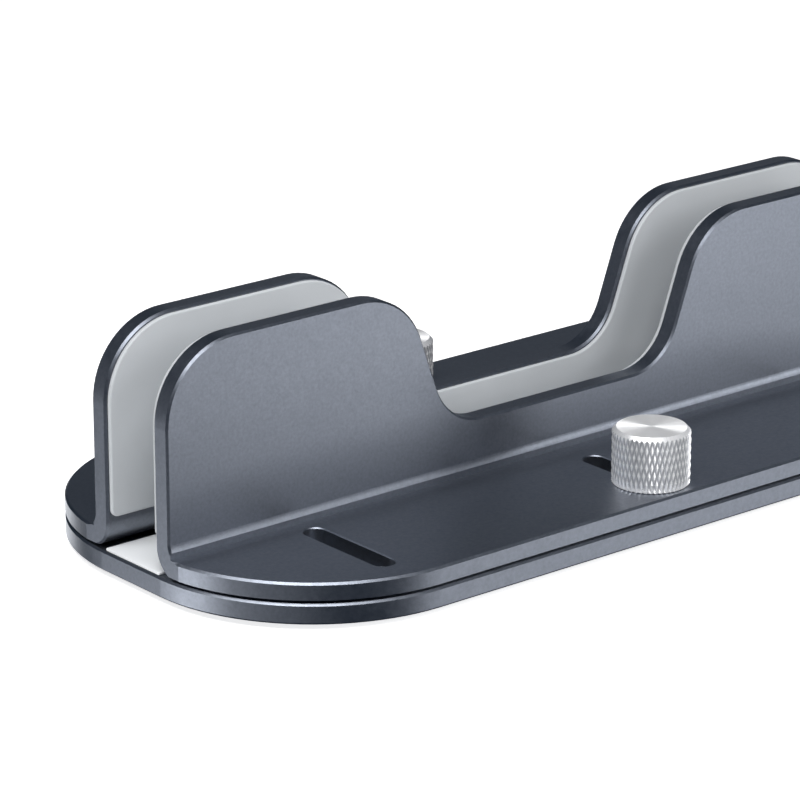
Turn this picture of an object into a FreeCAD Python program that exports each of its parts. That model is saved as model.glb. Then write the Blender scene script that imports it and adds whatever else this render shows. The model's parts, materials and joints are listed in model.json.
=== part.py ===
"""Adjustable vertical laptop stand, millimetres, +Z up.

The origin is on the desk, under the middle of the stand. The channel that
holds the laptop runs along X, and the two brackets slide apart along Y.
"""
import FreeCAD, Part
import math
import os

Vec = FreeCAD.Vector

# Base plate
plate_length = 188.0
plate_width = 90.0
plate_corner_radius = 36.0
plate_thickness = 4.0
edge_break = 0.4

# Bent brackets, one blank used twice
sheet_thickness = 4.0
bend_inner_radius = 2.7
bend_outer_radius = 5.5
bend_step_inset = 0.4
rim_relief_height = 0.7
rim_relief_depth = 2.0
channel_width = 14.8
wall_rise = 43.6
lobe_outer_radius = 15.2
lobe_inner_radius = 15.2
saddle_rise = 14.8
saddle_floor_width = 55.2
saddle_radius = 11.8
lobe_slope_deg = 20.0

# Thumbscrews, drawn just slack so that the brackets can slide
screw_y = 36.3
screw_stagger = 1.2
stud_diameter = 4.0
stud_end_inset = 0.4
stud_side_clearance = 0.05
knob_slack = 0.05
knob_diameter = 15.0
knob_height = 11.0
knob_roof = 3.8
knob_bore_clearance = 0.02
knob_bore_end_gap = 0.2
knob_top_chamfer = 0.8
knob_foot_chamfer = 0.3

# Guide pins, as thick as the studs and pressed into the base under the end slots
guide_pin_floor = 1.0
guide_pin_top_gap = 1.6
guide_pin_chamfer = 0.3

# Slots through each flange, their runs measured between the end arcs' centres
slot_side_clearance = 0.25
slot_end_allowance = 0.2
slot_rim_break = 0.2
middle_slot_run = 16.0
end_slot_run = 19.5
end_slot_inset = 29.5

# Silicone pads
base_pad_tuck = 0.75
base_pad_thickness = 0.6
wall_pad_thickness = 1.0
wall_pad_inset = 0.5
wall_pad_bottom_gap = 0.1
wall_pad_corner_radius = 1.5

# Anti-slip feet under the base
foot_diameter = 14.0
foot_thickness = 1.2
foot_edge_inset = 8.0
foot_edge_break = 0.3

# Heights above the desk
base_bottom_z = foot_thickness
base_top_z = base_bottom_z + plate_thickness
flange_top_z = base_top_z + sheet_thickness
wall_top_z = base_top_z + wall_rise
saddle_z = base_top_z + saddle_rise

# Places that follow from the sizes above
half_length = plate_length / 2
half_width = plate_width / 2
wall_inner_y = channel_width / 2
wall_outer_y = wall_inner_y + sheet_thickness
slot_radius = stud_diameter / 2 + slot_side_clearance
slot_outer_y = screw_y + slot_end_allowance
end_slot_x = half_length - end_slot_inset
knob_bore_depth = knob_height - knob_roof
knob_foot_z = flange_top_z + knob_slack
knob_top_z = knob_foot_z + knob_height
guide_pin_bottom_z = base_bottom_z + guide_pin_floor
guide_pin_top_z = flange_top_z - guide_pin_top_gap
base_pad_length = plate_length - 2 * edge_break
base_pad_width = channel_width + 2 * base_pad_tuck

# Two points nearer than this are one point
same_place = 1e-6

# The walls end flush with the flange's rounded outline where the bend starts
bend_foot_y = wall_outer_y + bend_inner_radius
bend_top_z = flange_top_z + bend_inner_radius
corner_centre_y = half_width - plate_corner_radius
corner_reach = math.sqrt(plate_corner_radius**2 - (bend_foot_y - corner_centre_y) ** 2)
wall_half_length = half_length - plate_corner_radius + corner_reach


def write(name, shape):
    shape.exportStep(os.path.join("parts", name + ".step"))


def to_rear(shape):
    """The rear half of the stand is the front half turned half a turn about Z."""
    turned = shape.copy()
    turned.rotate(Vec(0, 0, 0), Vec(0, 0, 1), 180)
    return turned


def disc(diameter, height, x, y, z):
    return Part.makeCylinder(diameter / 2, height, Vec(x, y, z), Vec(0, 0, 1))


def arc_points(cx, cz, radius, from_deg, to_deg):
    """Start, middle and end of an arc, as (x, z) pairs."""
    angles = [math.radians(a) for a in (from_deg, (from_deg + to_deg) / 2, to_deg)]
    return [(cx + radius * math.cos(a), cz + radius * math.sin(a)) for a in angles]


def outline_face(steps, place):
    """A closed face from runs: two-point steps are lines, three-point steps are arcs."""
    edges = []
    for step in steps:
        points = [place(*p) for p in step]
        if len(points) == 3:
            edges.append(Part.Arc(*points).toShape())
        else:
            edges.append(Part.LineSegment(*points).toShape())
    return Part.Face(Part.Wire(edges))


def joined(runs):
    """Closes a list of arcs and corner points with straight lines between them."""
    steps = []
    for index, run in enumerate(runs):
        if len(run) == 3:
            steps.append(run)
        following = runs[(index + 1) % len(runs)]
        if math.dist(run[-1], following[0]) > same_place:
            steps.append([run[-1], following[0]])
    return steps


def rounded_plan(length, width, radius, z):
    """Rounded rectangle centred on the origin, at height z."""
    cx = length / 2 - radius
    cy = width / 2 - radius
    corners = [(cx, cy, 0), (-cx, cy, 90), (-cx, -cy, 180), (cx, -cy, 270)]
    runs = [arc_points(x, y, radius, start, start + 90) for x, y, start in corners]
    return outline_face(joined(runs), lambda x, y: Vec(x, y, z))


def lobed_outline(inset, bottom_z, bottom_radius, y):
    """Two lobes with a low saddle between them, drawn inset from the wall's edge."""
    slope = math.radians(lobe_slope_deg)
    end_x = wall_half_length - inset
    top_z = wall_top_z - inset
    floor_z = saddle_z - inset
    outer_r = lobe_outer_radius - inset
    inner_r = lobe_inner_radius - inset
    floor_r = saddle_radius + inset
    # The slanted side of a lobe meets the saddle floor line here
    foot_x = saddle_floor_width / 2 + inset / math.cos(slope) - inset * math.tan(slope)

    def beside_slant(z, offset):
        return foot_x + (z - floor_z) * math.tan(slope) + offset / math.cos(slope)

    inner_cz = top_z - inner_r
    inner_cx = beside_slant(inner_cz, inner_r)
    floor_cz = floor_z + floor_r
    floor_cx = beside_slant(floor_cz, -floor_r)
    right = [
        arc_points(floor_cx, floor_cz, floor_r, 270, 360 - lobe_slope_deg),
        arc_points(inner_cx, inner_cz, inner_r, 180 - lobe_slope_deg, 90),
        arc_points(end_x - outer_r, top_z - outer_r, outer_r, 90, 0),
    ]
    if bottom_radius > 0:
        right.append(arc_points(end_x - bottom_radius, bottom_z + bottom_radius, bottom_radius, 0, -90))
    else:
        right.append([(end_x, bottom_z)])
    left = [[(-x, z) for x, z in reversed(run)] for run in reversed(right)]
    return outline_face(joined(right + left), lambda x, z: Vec(x, y, z))


def base_plate():
    plate = rounded_plan(plate_length, plate_width, plate_corner_radius, base_bottom_z)
    plate = plate.extrude(Vec(0, 0, plate_thickness))
    rims = [e for e in plate.Edges if is_flat(e, "ZLength")]
    plate = plate.makeChamfer(edge_break, rims)
    screw_hole = stud_diameter + 2 * stud_side_clearance
    for x, y in screw_places():
        plate = plate.cut(disc(screw_hole, plate_thickness, x, y, base_bottom_z))
    for x, y in guide_pin_places():
        plate = plate.cut(disc(stud_diameter, base_top_z - guide_pin_bottom_z, x, y, guide_pin_bottom_z))
    return plate


def screw_places():
    return [(screw_stagger, -screw_y), (-screw_stagger, screw_y)]


def guide_pin_places():
    x = end_slot_x
    return [(-x, -screw_y), (x, -screw_y), (x, screw_y), (-x, screw_y)]


def slot_face(x, run, radius, z):
    """Round-ended slot along Y, from the screw's place in towards the wall."""
    runs = [
        arc_points(x, run - slot_outer_y, radius, 0, 180),
        arc_points(x, -slot_outer_y, radius, 180, 360),
    ]
    return outline_face(joined(runs), lambda px, py: Vec(px, py, z))


def slot_cutter(x, run):
    """Upright cutter through the flange, flared at the upper rim."""
    shank = slot_face(x, run, slot_radius, base_top_z).extrude(Vec(0, 0, sheet_thickness))
    low = slot_face(x, run, slot_radius, flange_top_z - slot_rim_break)
    high = slot_face(x, run, slot_radius + slot_rim_break, flange_top_z)
    return shank.fuse(Part.makeLoft([low.OuterWire, high.OuterWire], True, True))


def front_bracket():
    """Flange, bend and wall of one sheet, with the bend's round side towards the channel."""
    sheet = bracket_wall().fuse([bracket_bend(), bracket_flange()]).removeSplitter()
    cutters = [bend_step_cutter(), rim_relief_cutter(), slot_cutter(screw_stagger, middle_slot_run)]
    for x in (-end_slot_x, end_slot_x):
        cutters.append(slot_cutter(x, end_slot_run))
    return sheet.cut(cutters)


def bracket_wall():
    """The lobed wall above the bend, its outline broken on both faces."""
    face = lobed_outline(0, bend_top_z, 0, -wall_outer_y)
    wall = face.extrude(Vec(0, sheet_thickness, 0))
    outline = [e for e in wall.Edges if is_flat(e, "YLength") and e.BoundBox.ZMax > bend_top_z + same_place]
    return wall.makeChamfer(edge_break, outline)


def bracket_bend():
    """The sheet's turn from flange to wall, fuller inside than its round outside."""
    outer_y = -wall_inner_y - bend_outer_radius
    outer_z = base_top_z + bend_outer_radius
    runs = [
        [(-bend_foot_y, base_top_z)],
        arc_points(outer_y, outer_z, bend_outer_radius, -90, 0),
        [(-wall_inner_y, bend_top_z)],
        arc_points(-bend_foot_y, bend_top_z, bend_inner_radius, 0, -90),
    ]
    face = outline_face(joined(runs), lambda y, z: Vec(-wall_half_length, y, z))
    bend = face.extrude(Vec(2 * wall_half_length, 0, 0))
    ends = [e for e in bend.Edges if is_flat(e, "XLength") and not is_flat(e, "ZLength")]
    broken = [e for e in ends if e.BoundBox.YMax > -bend_foot_y + same_place]
    return bend.makeChamfer(edge_break, broken)


def bend_step_cutter():
    """Takes the foot of the inner bend off in a small upright step down to the flange."""
    low = Vec(-half_length, -bend_foot_y, flange_top_z)
    return Part.makeBox(plate_length, bend_inner_radius - bend_step_inset, bend_inner_radius, low)


def rim_relief_cutter():
    """A thin band along the outline, whose removal leaves a shadow gap over the base's rim."""
    lift = Vec(0, 0, rim_relief_height)
    inside = rounded_plan(
        plate_length - 2 * rim_relief_depth,
        plate_width - 2 * rim_relief_depth,
        plate_corner_radius - rim_relief_depth,
        base_top_z,
    )
    corner = Vec(-half_length, -half_width, base_top_z)
    around = Part.makeBox(plate_length, plate_width, rim_relief_height, corner)
    return around.cut(inside.extrude(lift))


def bracket_flange():
    """The part of the sheet that lies on the base and follows its outline."""
    plan = rounded_plan(plate_length, plate_width, plate_corner_radius, base_top_z)
    corner = Vec(-half_length, -half_width, base_top_z)
    front = Part.makeBox(plate_length, half_width - bend_foot_y, sheet_thickness, corner)
    flange = plan.extrude(Vec(0, 0, sheet_thickness)).common(front)
    outline = [e for e in rims_at(flange, flange_top_z) if e.BoundBox.YMin < -bend_foot_y - same_place]
    return flange.makeChamfer(edge_break, outline)


def is_flat(edge, side):
    return getattr(edge.BoundBox, side) < same_place


def front_wall_pad():
    bottom = bend_top_z + wall_pad_bottom_gap
    face = lobed_outline(wall_pad_inset, bottom, wall_pad_corner_radius, -wall_inner_y)
    return face.extrude(Vec(0, wall_pad_thickness, 0))


def base_pad():
    corner = Vec(-base_pad_length / 2, -base_pad_width / 2, base_top_z)
    return Part.makeBox(base_pad_length, base_pad_width, base_pad_thickness, corner)


def front_stud():
    bottom = base_bottom_z + stud_end_inset
    top = knob_foot_z + knob_bore_depth - knob_bore_end_gap
    stud = disc(stud_diameter, top - bottom, screw_stagger, -screw_y, bottom)
    ends = [e for e in stud.Edges if is_flat(e, "ZLength")]
    return stud.makeChamfer(edge_break, ends)


def front_knob():
    knob = disc(knob_diameter, knob_height, screw_stagger, -screw_y, knob_foot_z)
    for z, size in ((knob_top_z, knob_top_chamfer), (knob_foot_z, knob_foot_chamfer)):
        knob = knob.makeChamfer(size, rims_at(knob, z))
    bore_diameter = stud_diameter + 2 * knob_bore_clearance
    return knob.cut(disc(bore_diameter, knob_bore_depth, screw_stagger, -screw_y, knob_foot_z))


def rims_at(shape, z):
    return [e for e in shape.Edges if is_flat(e, "ZLength") and abs(e.BoundBox.ZMax - z) < same_place]


def guide_pin(x, y):
    pin = disc(stud_diameter, guide_pin_top_z - guide_pin_bottom_z, x, y, guide_pin_bottom_z)
    return pin.makeChamfer(guide_pin_chamfer, rims_at(pin, guide_pin_top_z))


def foot(x, y):
    pad = disc(foot_diameter, foot_thickness, x, y, 0)
    return pad.makeChamfer(foot_edge_break, rims_at(pad, 0))


def foot_places():
    """On the corner arcs' own diagonal, one foot in from the plate's edge."""
    along = (plate_corner_radius - foot_edge_inset - foot_diameter / 2) / math.sqrt(2)
    x = half_length - plate_corner_radius + along
    y = half_width - plate_corner_radius + along
    return [(-x, -y), (x, -y), (x, y), (-x, y)]


def main():
    os.makedirs("parts", exist_ok=True)
    write("base_plate", base_plate())
    write("base_pad", base_pad())
    for name, shape in (
        ("bracket", front_bracket()),
        ("wall_pad", front_wall_pad()),
        ("stud", front_stud()),
        ("knob", front_knob()),
    ):
        write("front_" + name, shape)
        write("rear_" + name, to_rear(shape))
    corner_names = ("front_left", "front_right", "rear_right", "rear_left")
    for corner, (x, y) in zip(corner_names, guide_pin_places()):
        write(corner + "_guide_pin", guide_pin(x, y))
    for corner, (x, y) in zip(corner_names, foot_places()):
        write(corner + "_foot", foot(x, y))


main()
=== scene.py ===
"""Studio picture of the adjustable vertical laptop stand, in metres."""
import json
import math

import bmesh
import bpy
from mathutils import Matrix, Vector

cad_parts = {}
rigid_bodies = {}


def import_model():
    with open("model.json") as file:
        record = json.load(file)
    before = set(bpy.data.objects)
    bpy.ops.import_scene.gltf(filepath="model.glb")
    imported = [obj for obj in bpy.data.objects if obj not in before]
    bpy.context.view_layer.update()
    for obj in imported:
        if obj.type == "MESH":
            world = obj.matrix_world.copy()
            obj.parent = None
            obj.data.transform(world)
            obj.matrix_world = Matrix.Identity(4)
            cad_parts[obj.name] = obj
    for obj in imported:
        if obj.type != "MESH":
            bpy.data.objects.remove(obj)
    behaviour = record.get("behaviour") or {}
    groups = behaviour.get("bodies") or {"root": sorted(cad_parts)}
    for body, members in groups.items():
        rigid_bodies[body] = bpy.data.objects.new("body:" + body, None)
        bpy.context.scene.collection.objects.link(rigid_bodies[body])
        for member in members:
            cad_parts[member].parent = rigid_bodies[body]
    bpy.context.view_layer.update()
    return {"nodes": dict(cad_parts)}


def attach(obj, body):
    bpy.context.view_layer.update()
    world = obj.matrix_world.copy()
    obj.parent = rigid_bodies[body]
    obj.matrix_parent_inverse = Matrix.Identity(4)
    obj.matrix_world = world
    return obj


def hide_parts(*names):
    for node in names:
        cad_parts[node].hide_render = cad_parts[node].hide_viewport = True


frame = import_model()
bpy.ops.object.select_all(action="DESELECT")
nodes = frame["nodes"]

mm = 0.001

# A hair is the slack for picking parts by height and for trimming a thread's crests.
# Points nearer than weld are one point.
hair = 0.01 * mm
weld = 0.001 * mm

# A face counts as level when its normal points this much up or down
level = 0.9

# Camera, as the picture was taken
view_azimuth = math.radians(-39.67)
view_elevation = math.radians(18.96)
view_distance = 0.81
lens_mm = 185.96
sensor_mm = 36
sight_limit = 20
aim_left = 23.3 * mm
aim_up = 14.1 * mm
base_bottom = 1.2 * mm

view_right = Vector((math.cos(view_azimuth), math.sin(view_azimuth), 0))
view_back = Vector(
    (
        math.sin(view_azimuth) * math.cos(view_elevation),
        -math.cos(view_azimuth) * math.cos(view_elevation),
        math.sin(view_elevation),
    )
)
view_up = view_back.cross(view_right)
view_ahead = Vector((-math.sin(view_azimuth), math.cos(view_azimuth), 0))


def place_camera():
    camera_data = bpy.data.cameras.new("camera")
    camera_data.lens = lens_mm
    camera_data.sensor_width = sensor_mm
    camera_data.clip_end = sight_limit
    camera = bpy.data.objects.new("camera", camera_data)
    bpy.context.scene.collection.objects.link(camera)
    aim = Vector((0, 0, base_bottom)) - aim_left * view_right + aim_up * view_up
    turn = Matrix((view_right, view_up, view_back)).transposed().to_4x4()
    camera.matrix_world = Matrix.Translation(aim + view_distance * view_back) @ turn
    bpy.context.scene.camera = camera


# Modelling by hand: a piece is made active, edited and finished with these


def start_piece(name):
    piece = bpy.context.object
    piece.name = name
    piece.data.name = name
    return piece


def make_active(piece):
    bpy.ops.object.select_all(action="DESELECT")
    piece.select_set(True)
    bpy.context.view_layer.objects.active = piece


def settle(piece):
    """Puts the piece's place into its mesh, with its object at the origin."""
    make_active(piece)
    bpy.ops.object.transform_apply(location=True, rotation=True, scale=True)


def edit(piece, mode="VERT"):
    make_active(piece)
    bpy.ops.object.mode_set(mode="EDIT")
    bpy.ops.mesh.select_mode(type=mode)
    bpy.ops.mesh.select_all(action="DESELECT")


def done():
    bpy.ops.object.mode_set(mode="OBJECT")


def pick(piece, kind, test):
    """Selects the vertices, edges or faces that pass the test, in edit mode."""
    mesh = bmesh.from_edit_mesh(piece.data)
    for part in getattr(mesh, kind):
        part.select_set(bool(test(part)))
    mesh.select_flush_mode()
    bmesh.update_edit_mesh(piece.data)


def close_ends(shift=(0, 0, 0)):
    """Fills the open ends of the piece in edit mode, turns its faces outwards and moves it by shift."""
    bpy.ops.mesh.fill_holes(sides=0)
    bpy.ops.mesh.select_all(action="SELECT")
    bpy.ops.mesh.normals_make_consistent(inside=False)
    bpy.ops.transform.translate(value=shift)


def keep_common(piece, other):
    """Keeps what the two pieces have in common, as the first of them."""
    make_active(piece)
    cut = piece.modifiers.new("cut", "BOOLEAN")
    cut.operation = "INTERSECT"
    cut.solver = "EXACT"
    cut.object = other
    bpy.ops.object.modifier_apply(modifier=cut.name)
    bpy.data.objects.remove(other)


def smooth_by_angle(piece, degrees):
    make_active(piece)
    bpy.ops.object.shade_smooth_by_angle(angle=math.radians(degrees))


def copy_piece(piece, name, shift):
    """A copy with its own mesh, moved by shift."""
    make_active(piece)
    bpy.ops.object.duplicate()
    copy = start_piece(name)
    copy.location = shift
    settle(copy)
    return copy


def piece_from_node(node_name, name):
    """A copy of a CAD node's mesh as a closed piece, with its flat faces whole again."""
    flat_within = math.radians(0.5)
    make_active(nodes[node_name])
    bpy.ops.object.duplicate()
    piece = start_piece(name)
    bpy.ops.object.parent_clear(type="CLEAR_KEEP_TRANSFORM")
    bpy.ops.mesh.customdata_custom_splitnormals_clear()
    bpy.ops.object.mode_set(mode="EDIT")
    bpy.ops.mesh.select_all(action="SELECT")
    bpy.ops.mesh.remove_doubles(threshold=weld)
    bpy.ops.mesh.dissolve_limited(angle_limit=flat_within)
    done()
    return piece


# Materials

# A look runs from low to high between these factors, where nearly all of a noise's values lie
factor_low = 0.3
factor_high = 0.7


def new_material(name):
    material = bpy.data.materials.new(name)
    material.use_nodes = True
    tree = material.node_tree
    return material, tree, tree.nodes["Principled BSDF"]


def noise(tree, scale, detail=2.0, roughness=0.5):
    """Fine cloudy noise in the piece's own coordinates. Scale is in features per metre."""
    place = tree.nodes.new("ShaderNodeTexCoord")
    texture = tree.nodes.new("ShaderNodeTexNoise")
    texture.inputs["Scale"].default_value = scale
    texture.inputs["Detail"].default_value = detail
    texture.inputs["Roughness"].default_value = roughness
    tree.links.new(place.outputs["Object"], texture.inputs["Vector"])
    return texture.outputs["Fac"]


def vary_color(tree, shader, factor, low, high):
    """Runs the base colour from low to high with the factor."""
    ramp = tree.nodes.new("ShaderNodeValToRGB")
    ramp.color_ramp.elements[0].position = factor_low
    ramp.color_ramp.elements[0].color = (*low, 1)
    ramp.color_ramp.elements[1].position = factor_high
    ramp.color_ramp.elements[1].color = (*high, 1)
    tree.links.new(factor, ramp.inputs["Fac"])
    tree.links.new(ramp.outputs["Color"], shader.inputs["Base Color"])


def vary_roughness(tree, shader, factor, low, high):
    """Runs the roughness from low to high with the factor."""
    span = tree.nodes.new("ShaderNodeMapRange")
    span.inputs["From Min"].default_value = factor_low
    span.inputs["From Max"].default_value = factor_high
    span.inputs["To Min"].default_value = low
    span.inputs["To Max"].default_value = high
    tree.links.new(factor, span.inputs["Value"])
    tree.links.new(span.outputs["Result"], shader.inputs["Roughness"])


def bump(tree, shader, height, strength, depth):
    node = tree.nodes.new("ShaderNodeBump")
    node.inputs["Strength"].default_value = strength
    node.inputs["Distance"].default_value = depth
    tree.links.new(height, node.inputs["Height"])
    tree.links.new(node.outputs["Normal"], shader.inputs["Normal"])


def make_anodised():
    """Blasted sheet, dyed blue-grey: a fine even grain in its colour, gloss and surface."""
    material, tree, shader = new_material("blasted anodised aluminium")
    shader.inputs["Metallic"].default_value = 1
    grain = noise(tree, 1500, detail=3, roughness=0.6)
    vary_color(tree, shader, grain, (0.19, 0.2055, 0.2375), (0.224, 0.242, 0.279))
    vary_roughness(tree, shader, noise(tree, 900), 0.36, 0.42)
    bump(tree, shader, grain, strength=0.35, depth=0.03 * mm)
    return material


def make_silicone(name, low, high):
    """Matt sheet: broad faint clouds in its colour, a fine grain in its gloss and surface."""
    material, tree, shader = new_material(name)
    shader.inputs["Specular IOR Level"].default_value = 0.4
    grain = noise(tree, 3000)
    vary_color(tree, shader, noise(tree, 60), low, high)
    vary_roughness(tree, shader, grain, 0.5, 0.6)
    bump(tree, shader, grain, strength=0.2, depth=0.02 * mm)
    return material


def make_rubber():
    material, tree, shader = new_material("black rubber")
    grain = noise(tree, 2500)
    vary_color(tree, shader, grain, (0.015, 0.015, 0.016), (0.03, 0.03, 0.03))
    vary_roughness(tree, shader, grain, 0.55, 0.7)
    bump(tree, shader, grain, strength=0.3, depth=0.03 * mm)
    return material


def make_nickel(name, low, high, metallic, roughness, anisotropy=0.0, shade_and_polish=None):
    """Bright nickel plate. A lower metallic gives the milky sheen of a matt bath.

    An attribute, given by name, that is 1 on crests and 0 in grooves runs the colour from low, painted
    shade in the grooves, to high, painted highlight on the crests together with some rubbed wear.
    """
    roughness_spread = 0.05
    material, tree, shader = new_material(name)
    shader.inputs["Metallic"].default_value = metallic
    grain = noise(tree, 6000)
    if shade_and_polish:
        # Painted shade in the grooves and painted highlight on the crests, with some rubbed wear: the
        # colour follows the crest height
        shade_and_polish_node = tree.nodes.new("ShaderNodeAttribute")
        shade_and_polish_node.attribute_name = shade_and_polish
        vary_color(tree, shader, shade_and_polish_node.outputs["Fac"], low, high)
    else:
        vary_color(tree, shader, grain, low, high)
    vary_roughness(tree, shader, grain, roughness, roughness + roughness_spread)
    if anisotropy:
        shader.inputs["Anisotropic"].default_value = anisotropy
        tangent = tree.nodes.new("ShaderNodeTangent")
        tangent.direction_type = "RADIAL"
        tangent.axis = "Z"
        tree.links.new(tangent.outputs["Tangent"], shader.inputs["Tangent"])
    return material


def dress(piece, *materials):
    piece.data.materials.clear()
    for material in materials:
        piece.data.materials.append(material)


anodised = make_anodised()
grey_silicone = make_silicone("light grey silicone", (0.5, 0.523, 0.547), (0.53, 0.553, 0.577))
white_silicone = make_silicone("near-white silicone", (0.81, 0.83, 0.85), (0.85, 0.87, 0.89))
black_rubber = make_rubber()
# Its low colour is painted shade in the knurl's grooves, its high colour painted highlight and rubbed wear
# on the crests and rims
knurled_nickel = make_nickel(
    "knurled nickel",
    low=(0.54, 0.55, 0.575),
    high=(0.98, 0.98, 0.985),
    metallic=0.54,
    roughness=0.27,
    shade_and_polish="crest",
)
spun_nickel = make_nickel(
    "spun nickel",
    low=(0.92, 0.92, 0.925),
    high=(0.95, 0.95, 0.955),
    metallic=0.52,
    roughness=0.55,
    anisotropy=0.95,
)
drawn_nickel = make_nickel(
    "drawn nickel",
    low=(0.72, 0.72, 0.735),
    high=(0.8, 0.8, 0.81),
    metallic=1.0,
    roughness=0.25,
)

for name, node in nodes.items():
    if name.endswith("bracket") or name == "base_plate":
        dress(node, anodised)
    elif name.endswith("foot"):
        dress(node, black_rubber)
    else:
        dress(node, drawn_nickel)

# Knobs: the knurl's crests start a little outside the blank, so that the turned blank leaves them flat
knob_radius = 7.5 * mm
knob_foot = 9.25 * mm
knob_height = 11 * mm
knob_top = knob_foot + knob_height
knob_roof = 3.8 * mm
bore_radius = 2.02 * mm
top_chamfer = 0.8 * mm
foot_chamfer = 0.3 * mm
front_screw_place = (1.2 * mm, -36.3 * mm)
knurl_lines = 47
diamond_height = 3.385 * mm
knurl_depth = 0.32 * mm
crest_rise = 0.05 * mm
turned_steps = 4 * knurl_lines
knurl_smooth_degrees = 4


def make_blank(place):
    """The turned blank of a knob: both rims chamfered, bored from below."""
    x, y = place
    bpy.ops.mesh.primitive_cylinder_add(
        vertices=turned_steps,
        radius=knob_radius,
        depth=knob_height,
        location=(x, y, knob_foot + knob_height / 2),
    )
    blank = start_piece("knob_blank")
    settle(blank)
    top = knob_top - hair
    bottom = knob_foot + hair
    edit(blank, "EDGE")
    pick(blank, "edges", lambda edge: min(v.co.z for v in edge.verts) > top)
    bpy.ops.mesh.bevel(offset=top_chamfer, segments=1)
    bpy.ops.mesh.select_all(action="DESELECT")
    pick(blank, "edges", lambda edge: max(v.co.z for v in edge.verts) < bottom)
    bpy.ops.mesh.bevel(offset=foot_chamfer, segments=1)
    bpy.ops.mesh.select_mode(type="FACE")
    pick(blank, "faces", lambda face: face.calc_center_median().z < bottom and face.normal.z < -level)
    bpy.ops.mesh.inset(thickness=knob_radius - foot_chamfer - bore_radius)
    bpy.ops.mesh.extrude_region_move(
        TRANSFORM_OT_translate={"value": (0, 0, knob_height - knob_roof)}
    )
    done()
    return blank


def make_knurl(place):
    """A diamond-knurled bar: rings of points, every other one pressed in, split along the grooves."""
    x, y = place
    ring_rise = diamond_height / 2
    spare_rings = 2
    rings = math.ceil(knob_height / ring_rise) + spare_rings
    low = knob_foot - ring_rise
    pick_slack = 0.1 * mm
    bpy.ops.mesh.primitive_cylinder_add(
        vertices=2 * knurl_lines,
        radius=knob_radius + crest_rise,
        depth=ring_rise,
        end_fill_type="NOTHING",
        location=(0, 0, low + ring_rise / 2),
    )
    bar = start_piece("knurled_bar")
    settle(bar)
    for ring in range(1, rings):
        edit(bar, "EDGE")
        edge_height = low + ring * ring_rise - pick_slack
        pick(bar, "edges", lambda edge: min(v.co.z for v in edge.verts) > edge_height)
        bpy.ops.mesh.extrude_region_move(TRANSFORM_OT_translate={"value": (0, 0, ring_rise)})
        done()
    edit(bar)

    def in_groove(vertex):
        # The bar's points start half a step off the x axis, and a quarter more makes the rounding sure
        quarter_step = 0.25
        turn = math.atan2(vertex.co.y, vertex.co.x)
        step = round(turn / (math.pi / knurl_lines) + quarter_step)
        ring = round((vertex.co.z - low) / ring_rise)
        return (step + ring) % 2

    pick(bar, "verts", in_groove)
    press = 1 - (knurl_depth + crest_rise) / (knob_radius + crest_rise)
    bpy.ops.transform.resize(value=(press, press, 1), center_override=(0, 0, 0))
    bpy.ops.mesh.select_all(action="SELECT")
    bpy.ops.mesh.quads_convert_to_tris(quad_method="SHORTEST_DIAGONAL")
    close_ends(shift=(x, y, 0))
    done()
    return bar


def mark_crests(knob, place):
    """Notes on each point of the knurl how far it stands out of the grooves. The rims count as crests."""
    groove = knob_radius - knurl_depth
    # This note sets the knurl's colour: painted shade in the grooves, painted highlight on the crests and
    # rims
    crest = knob.data.attributes.new("crest", "FLOAT", "POINT")
    low = knob_foot + foot_chamfer + hair
    high = knob_top - top_chamfer - hair
    for vertex, note in zip(knob.data.vertices, crest.data):
        out = (vertex.co.xy - Vector(place)).length
        note.value = (out - groove) / knurl_depth if low < vertex.co.z < high else 1


def make_knob(name, place):
    """The blank, knurled. Its flat top takes the second of its two materials."""
    knob = make_blank(place)
    keep_common(knob, make_knurl(place))
    start_piece(name)
    mark_crests(knob, place)
    dress(knob, knurled_nickel, spun_nickel)
    for face in knob.data.polygons:
        if face.normal.z > level and face.center.z > knob_top - hair:
            face.material_index = 1
    smooth_by_angle(knob, knurl_smooth_degrees)
    return knob


# The rear thumbscrew stands as far behind the stand's middle as the front one stands before it
rear_shift = (-2 * front_screw_place[0], -2 * front_screw_place[1], 0)
front_knob = make_knob("front_knurled_knob", front_screw_place)
rear_knob = copy_piece(front_knob, "rear_knurled_knob", rear_shift)
for end, knob in (("front", front_knob), ("rear", rear_knob)):
    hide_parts(end + "_knob")
    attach(knob, end + "_knob")

# Threaded studs
stud_radius = 2 * mm
stud_bottom = 1.6 * mm
stud_top = 16.25 * mm
thread_pitch = 0.7 * mm
thread_depth = 0.4 * mm
thread_steps = 24
stud_tip_chamfer = 0.4 * mm
thread_smooth_degrees = 20


def draw_line(name, corners):
    """A line of edges through the corners: one point, extruded from each to the next."""
    bpy.ops.mesh.primitive_plane_add(size=1 * mm)
    line = start_piece(name)
    edit(line)
    bpy.ops.mesh.select_all(action="SELECT")
    bpy.ops.mesh.merge(type="CENTER")
    bpy.ops.mesh.select_all(action="SELECT")
    bpy.ops.transform.translate(value=corners[0])
    for before, after in zip(corners, corners[1:]):
        step = [b - a for a, b in zip(before, after)]
        bpy.ops.mesh.extrude_vertices_move(TRANSFORM_OT_translate={"value": step})
    done()
    return line


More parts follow.
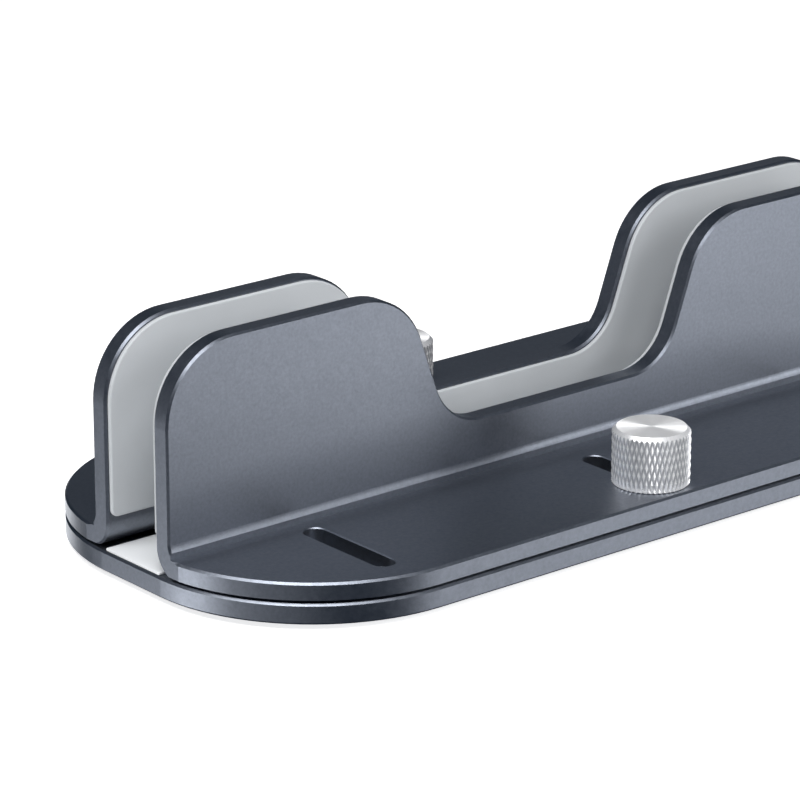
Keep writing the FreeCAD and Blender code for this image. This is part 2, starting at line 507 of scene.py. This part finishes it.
def make_thread(name, place):
    """A threaded rod, longer than the stud at both ends: one thread's profile, screwed up."""
    x, y = place
    lead_in = 1.5 * thread_pitch
    spare_turns = 2
    low = stud_bottom - lead_in
    rod = draw_line(
        name,
        (
            (stud_radius, 0, low),
            (stud_radius - thread_depth, 0, low + thread_pitch / 2),
            (stud_radius, 0, low + thread_pitch),
        ),
    )
    screw = rod.modifiers.new("thread", "SCREW")
    screw.screw_offset = thread_pitch
    screw.iterations = math.ceil((stud_top - stud_bottom) / thread_pitch) + spare_turns
    screw.steps = screw.render_steps = thread_steps
    screw.use_merge_vertices = True
    screw.merge_threshold = weld
    make_active(rod)
    bpy.ops.object.modifier_apply(modifier=screw.name)
    edit(rod)
    bpy.ops.mesh.select_all(action="SELECT")
    bpy.ops.mesh.remove_doubles(threshold=weld)
    close_ends(shift=(x, y, 0))
    done()
    return rod


def make_stud(name, place):
    """The threaded rod, trimmed to length by a blank with chamfered tips."""
    x, y = place
    rod = make_thread(name, place)
    bpy.ops.mesh.primitive_cylinder_add(
        vertices=2 * thread_steps,
        radius=stud_radius - hair,
        depth=stud_top - stud_bottom,
        location=(x, y, (stud_top + stud_bottom) / 2),
    )
    blank = start_piece("stud_blank")
    settle(blank)
    edit(blank, "FACE")
    pick(blank, "faces", lambda face: abs(face.normal.z) > level)
    bpy.ops.mesh.select_mode(type="EDGE")
    bpy.ops.mesh.bevel(offset=stud_tip_chamfer, segments=1)
    done()
    keep_common(rod, blank)
    dress(rod, drawn_nickel)
    smooth_by_angle(rod, thread_smooth_degrees)
    return rod


front_stud = make_stud("front_threaded_stud", front_screw_place)
rear_stud = copy_piece(front_stud, "rear_threaded_stud", rear_shift)
for end, stud in (("front", front_stud), ("rear", rear_stud)):
    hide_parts(end + "_stud")
    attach(stud, end + "_screw")

# Silicone pads
wall_pad_edge = 0.35 * mm
base_pad_edge = 0.22 * mm
pad_edge_steps = 3
pad_rim_degrees = 60
pad_smooth_degrees = 40


def make_pad(node_name, name, edge_round, silicone):
    """A silicone sheet with its rims softly rounded, as it leaves the mould."""
    pad = piece_from_node(node_name, name)
    dress(pad, silicone)
    edit(pad, "EDGE")
    pick(pad, "edges", lambda edge: edge.calc_face_angle(0) > math.radians(pad_rim_degrees))
    bpy.ops.mesh.bevel(offset=edge_round, segments=pad_edge_steps, clamp_overlap=True)
    done()
    smooth_by_angle(pad, pad_smooth_degrees)
    return pad


for end in ("front", "rear"):
    pad = make_pad(end + "_wall_pad", end + "_wall_liner", wall_pad_edge, grey_silicone)
    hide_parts(end + "_wall_pad")
    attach(pad, end + "_bracket")

channel_pad = make_pad("base_pad", "channel_liner", base_pad_edge, white_silicone)
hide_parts("base_pad")
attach(channel_pad, "base")

# Floor, cloth, world and lamps
floor_side = 6
floor_whiteness = 0.75
cloth_radius = 2.5
cloth_glow = 0.05


def make_matt(name, color, glow_color):
    """A stage surface with no gloss at all."""
    material, tree, shader = new_material(name)
    shader.inputs["Base Color"].default_value = (*color, 1)
    shader.inputs["Roughness"].default_value = 1
    shader.inputs["Specular IOR Level"].default_value = 0
    shader.inputs["Emission Color"].default_value = (*glow_color, 1)
    return material, tree, shader


def white_for_background(tree, lit, strength):
    """Adds white to a surface or the world, for rays that show the background, plain or in a reflection."""
    path = tree.nodes.new("ShaderNodeLightPath")
    seen = path.outputs["Is Camera Ray"]
    for kind in ("Is Glossy Ray", "Is Transmission Ray"):
        either = tree.nodes.new("ShaderNodeMath")
        either.operation = "MAXIMUM"
        tree.links.new(seen, either.inputs[0])
        tree.links.new(path.outputs[kind], either.inputs[1])
        seen = either.outputs["Value"]
    glow = tree.nodes.new("ShaderNodeMath")
    glow.operation = "MULTIPLY"
    glow.inputs[1].default_value = strength
    tree.links.new(seen, glow.inputs[0])
    tree.links.new(glow.outputs["Value"], lit)


bpy.ops.mesh.primitive_plane_add(size=floor_side)
floor = start_piece("floor")
material, tree, shader = make_matt("pale floor", (0.85, 0.85, 0.85), (1, 1, 1))
white_for_background(tree, shader.inputs["Emission Strength"], floor_whiteness)
dress(floor, material)
floor.visible_glossy = False
floor.visible_shadow = False

world = bpy.data.worlds.new("studio")
bpy.context.scene.world = world
world.use_nodes = True
background = world.node_tree.nodes["Background"]
background.inputs["Color"].default_value = (1, 1, 1, 1)
white_for_background(world.node_tree, background.inputs["Strength"], 1.0)

# Dark blue-grey cloth all round, out of the camera's sight, keeps the white out of the metal's reflections
bpy.ops.mesh.primitive_uv_sphere_add(radius=cloth_radius, segments=32, ring_count=16)
cloth = start_piece("dark_cloth")
material, tree, shader = make_matt("dark cloth", (0.01, 0.01, 0.01), (0.2, 0.5, 1))
shader.inputs["Emission Strength"].default_value = cloth_glow
dress(cloth, material)
cloth.visible_camera = False
cloth.visible_diffuse = False
cloth.visible_shadow = False

place_camera()

# Soft boxes: their sizes, how far off they stand, and for each its bearing round from the camera,
# its height angle, both in degrees, its size and its power in watts
lamp_distance = 0.65
small_box = 0.34, 0.27
large_box = 0.4, 0.34
soft_boxes = (
    ("left_low", -80, -35, small_box, 1.05),
    ("left_below", -75, -19, small_box, 0.62),
    ("left_front_low", -50, -35, small_box, 0.37),
    ("front_low", -20, -35, small_box, 0.24),
    ("right_low", 80, -35, small_box, 0.45),
    ("right_level", 75, -8, small_box, 0.61),
    ("left_level", -100, 8, small_box, 0.06),
    ("right", 90, 8, small_box, 0.94),
    ("right_high", 50, 30, small_box, 1.19),
    ("behind", 180, 20, small_box, 0.044),
    ("behind_right_low", 170, -19, small_box, 0.6),
    ("behind_left_low", -145, -19, small_box, 0.6),
    ("upper_left", -45, 56, large_box, 1.95),
    ("top_front", 0, 56, large_box, 2.55),
)


def place_soft_box(name, around, up, size, power):
    """A white lamp facing the stand's foot."""
    around = math.radians(around)
    up = math.radians(up)
    flat = -math.cos(around) * view_ahead + math.sin(around) * view_right
    toward = math.cos(up) * flat + math.sin(up) * Vector((0, 0, 1))
    lamp_data = bpy.data.lights.new(name, "AREA")
    lamp_data.shape = "RECTANGLE"
    lamp_data.size, lamp_data.size_y = size
    lamp_data.energy = power
    lamp = bpy.data.objects.new(name, lamp_data)
    bpy.context.scene.collection.objects.link(lamp)
    lamp.location = lamp_distance * toward
    lamp.rotation_mode = "QUATERNION"
    lamp.rotation_quaternion = toward.to_track_quat("Z", "Y")


for soft_box in soft_boxes:
    place_soft_box(*soft_box)

bpy.context.scene.view_settings.view_transform = "Standard"
